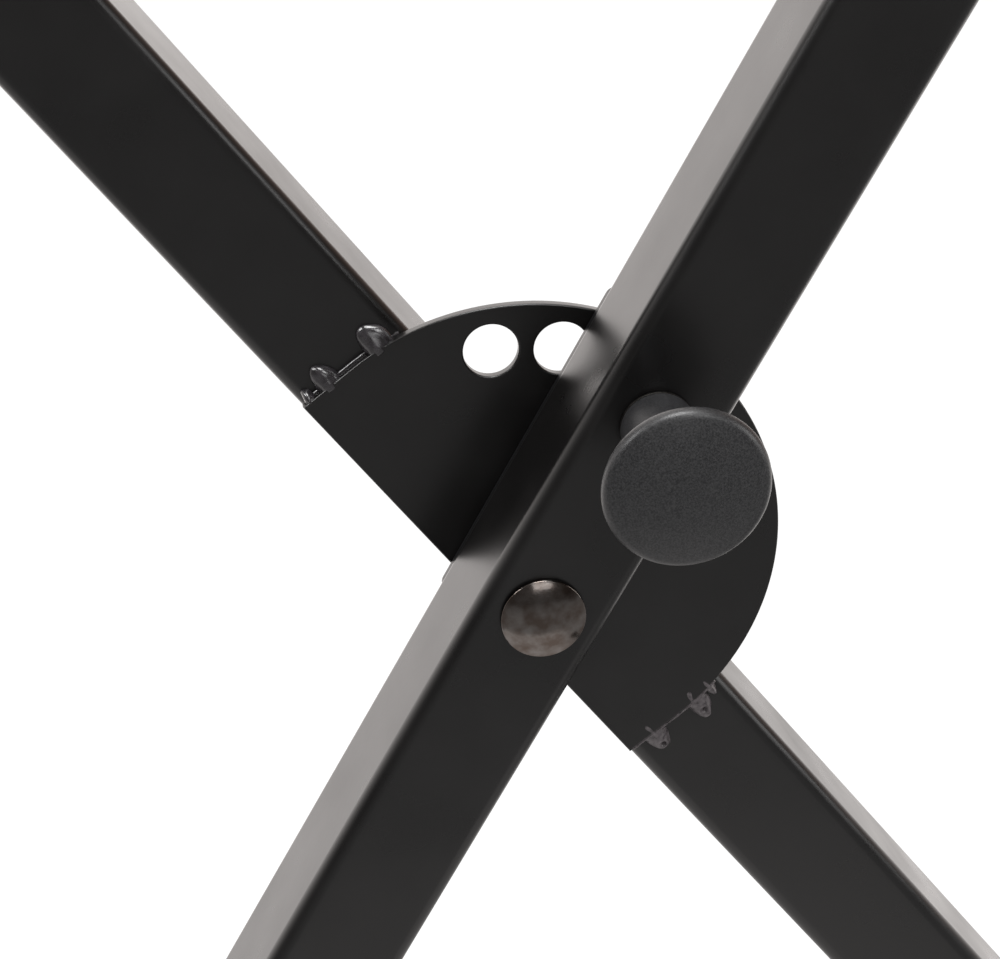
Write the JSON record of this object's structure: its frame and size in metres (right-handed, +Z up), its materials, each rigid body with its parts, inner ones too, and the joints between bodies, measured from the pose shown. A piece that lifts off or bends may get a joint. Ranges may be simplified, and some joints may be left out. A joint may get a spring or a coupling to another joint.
{
  "type": "keyboard stand",
  "caption": "X-style keyboard stand: two crossed square tube arms on a pivot rivet, locked at an index plate by a sprung pull knob, with rest and foot bars in rubber.",
  "frame": {"origin": "on the floor under the pivot, at the middle of the foot bars", "axes": "+Z up, +X to the right along the plane of the X, -Y to the front, where the pull knob is"},
  "size_m": [0.512, 0.4206, 0.7446],
  "materials": {
    "black_powder_coat": "satin black powder coat over steel",
    "blackened_steel": "blackened rivet steel with a glossy brown-black film",
    "zinc_plated_steel": "bright zinc plate",
    "black_nylon": "fine matte moulded nylon",
    "black_rubber": "matte moulded rubber"
  },
  "bodies": {
    "back_arm": {"back_arm_tube": "black_powder_coat", "index_plate": "black_powder_coat", "pivot_rivet": "blackened_steel", "pivot_rear_washer": "zinc_plated_steel", "back_pivot_bush": "zinc_plated_steel", "left_rest_bar": "black_powder_coat", "left_rest_saddle": "black_powder_coat", "left_rest_bolt_front": "zinc_plated_steel", "left_rest_bolt_rear": "zinc_plated_steel", "left_rest_washer_front": "zinc_plated_steel", "left_rest_washer_rear": "zinc_plated_steel", "left_rest_nut_front": "zinc_plated_steel", "left_rest_nut_rear": "zinc_plated_steel", "left_rest_sleeve_front": "black_rubber", "left_rest_sleeve_rear": "black_rubber", "left_rest_plug_front": "black_rubber", "left_rest_plug_rear": "black_rubber", "right_foot_bar": "black_powder_coat", "right_foot_saddle": "black_powder_coat", "right_foot_bolt_front": "zinc_plated_steel", "right_foot_bolt_rear": "zinc_plated_steel", "right_foot_washer_front": "zinc_plated_steel", "right_foot_washer_rear": "zinc_plated_steel", "right_foot_nut_front": "zinc_plated_steel", "right_foot_nut_rear": "zinc_plated_steel", "right_foot_boot_front": "black_rubber", "right_foot_boot_rear": "black_rubber"},
    "front_arm": {"front_arm_tube": "black_powder_coat", "wear_plate": "black_powder_coat", "front_pivot_bush": "zinc_plated_steel", "lock_bush": "zinc_plated_steel", "lock_spring": "zinc_plated_steel", "right_rest_bar": "black_powder_coat", "right_rest_saddle": "black_powder_coat", "right_rest_bolt_front": "zinc_plated_steel", "right_rest_bolt_rear": "zinc_plated_steel", "right_rest_washer_front": "zinc_plated_steel", "right_rest_washer_rear": "zinc_plated_steel", "right_rest_nut_front": "zinc_plated_steel", "right_rest_nut_rear": "zinc_plated_steel", "right_rest_sleeve_front": "black_rubber", "right_rest_sleeve_rear": "black_rubber", "right_rest_plug_front": "black_rubber", "right_rest_plug_rear": "black_rubber", "left_foot_bar": "black_powder_coat", "left_foot_saddle": "black_powder_coat", "left_foot_bolt_front": "zinc_plated_steel", "left_foot_bolt_rear": "zinc_plated_steel", "left_foot_washer_front": "zinc_plated_steel", "left_foot_washer_rear": "zinc_plated_steel", "left_foot_nut_front": "zinc_plated_steel", "left_foot_nut_rear": "zinc_plated_steel", "left_foot_boot_front": "black_rubber", "left_foot_boot_rear": "black_rubber"},
    "lock": {"pull_knob": "black_nylon", "lock_pin": "zinc_plated_steel"}
  },
  "joints": [
    {"name": "arm_pivot", "type": "hinge", "parent": "back_arm", "child": "front_arm", "pos_m": [0, 0, 0.37578], "axis": [0, -1, 0], "range_deg": [-36, 61]},
    {"name": "knob_pull", "type": "slide", "parent": "front_arm", "child": "lock", "axis": [0, -1, 0], "range_m": [0, 0.008], "stiffness_N_per_m": 600, "springref_m": -0.008, "deforming": ["lock_spring"]}
  ]
}
